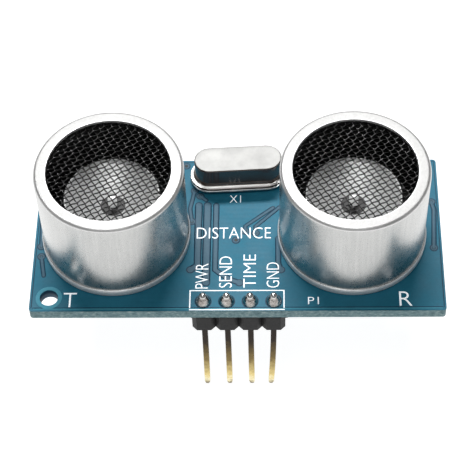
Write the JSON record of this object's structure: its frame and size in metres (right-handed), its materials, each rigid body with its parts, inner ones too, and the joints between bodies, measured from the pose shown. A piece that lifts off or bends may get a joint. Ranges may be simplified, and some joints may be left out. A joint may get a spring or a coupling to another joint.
{
  "type": "ultrasonic distance sensor",
  "caption": "Ultrasonic distance sensor board with transmitter and receiver cans, a crystal, a pin header and chips behind.",
  "frame": {"origin": "middle of the pin header's seating face, on the back of the board, where the four pins leave the block", "axes": "+Z the way the sensor faces, +X from the transmitter to the receiver, +Y from the header to the crystal"},
  "size_m": [0.045, 0.0206, 0.029],
  "materials": {
    "board": "glossy teal solder mask with white printed legends, raw fibreglass edges",
    "can_metal": "satin, fine drawn grain, brighter on the rim",
    "mesh_wire": "dark woven wire",
    "horn_metal": "satin",
    "disc_brass": "satin",
    "piezo_ceramic": "matt with a silvered face",
    "silicone": "matt, translucent white",
    "base_plastic": "matt moulded",
    "tinned_lead": "tinned, satin",
    "copper_wire": "enamelled copper",
    "solder": "bright solder with flux stains",
    "nickel_plate": "bright nickel, satin top",
    "insulator_sheet": "thin translucent film",
    "quartz": "lapped quartz",
    "header_plastic": "black moulded",
    "gilt_pin": "gold flash over brass",
    "chip_epoxy": "moulded epoxy with tinned leads",
    "resistor_glaze": "black glaze, tinned ends",
    "capacitor_ceramic": "tan ceramic, tinned ends"
  },
  "bodies": {
    "root": {"amplifier_chip": "chip_epoxy", "capacitor_1": "capacitor_ceramic", "capacitor_2": "capacitor_ceramic", "capacitor_3": "capacitor_ceramic", "capacitor_4": "capacitor_ceramic", "circuit_board": "board", "crystal_base": "nickel_plate", "crystal_can": "nickel_plate", "crystal_insulator": "insulator_sheet", "crystal_lead_1": "tinned_lead", "crystal_lead_2": "tinned_lead", "crystal_solder_1": "solder", "crystal_solder_2": "solder", "driver_chip": "chip_epoxy", "header_block": "header_plastic", "header_pin_1": "gilt_pin", "header_pin_2": "gilt_pin", "header_pin_3": "gilt_pin", "header_pin_4": "gilt_pin", "header_solder_1": "solder", "header_solder_2": "solder", "header_solder_3": "solder", "header_solder_4": "solder", "microcontroller_chip": "chip_epoxy", "quartz_blank": "quartz", "receiver_base": "base_plastic", "receiver_can": "can_metal", "receiver_horn": "horn_metal", "receiver_mesh": "mesh_wire", "receiver_piezo_disc": "piezo_ceramic", "receiver_seat_ring": "silicone", "receiver_solder_1": "solder", "receiver_solder_2": "solder", "receiver_terminal_1": "tinned_lead", "receiver_terminal_2": "tinned_lead", "receiver_vibrating_disc": "disc_brass", "receiver_wire_1": "copper_wire", "receiver_wire_2": "copper_wire", "resistor_1": "resistor_glaze", "resistor_2": "resistor_glaze", "resistor_3": "resistor_glaze", "resistor_4": "resistor_glaze", "resistor_5": "resistor_glaze", "resistor_6": "resistor_glaze", "resistor_7": "resistor_glaze", "transistor": "chip_epoxy", "transmitter_base": "base_plastic", "transmitter_can": "can_metal", "transmitter_horn": "horn_metal", "transmitter_mesh": "mesh_wire", "transmitter_piezo_disc": "piezo_ceramic", "transmitter_seat_ring": "silicone", "transmitter_solder_1": "solder", "transmitter_solder_2": "solder", "transmitter_terminal_1": "tinned_lead", "transmitter_terminal_2": "tinned_lead", "transmitter_vibrating_disc": "disc_brass", "transmitter_wire_1": "copper_wire", "transmitter_wire_2": "copper_wire"}
  },
  "joints": []
}
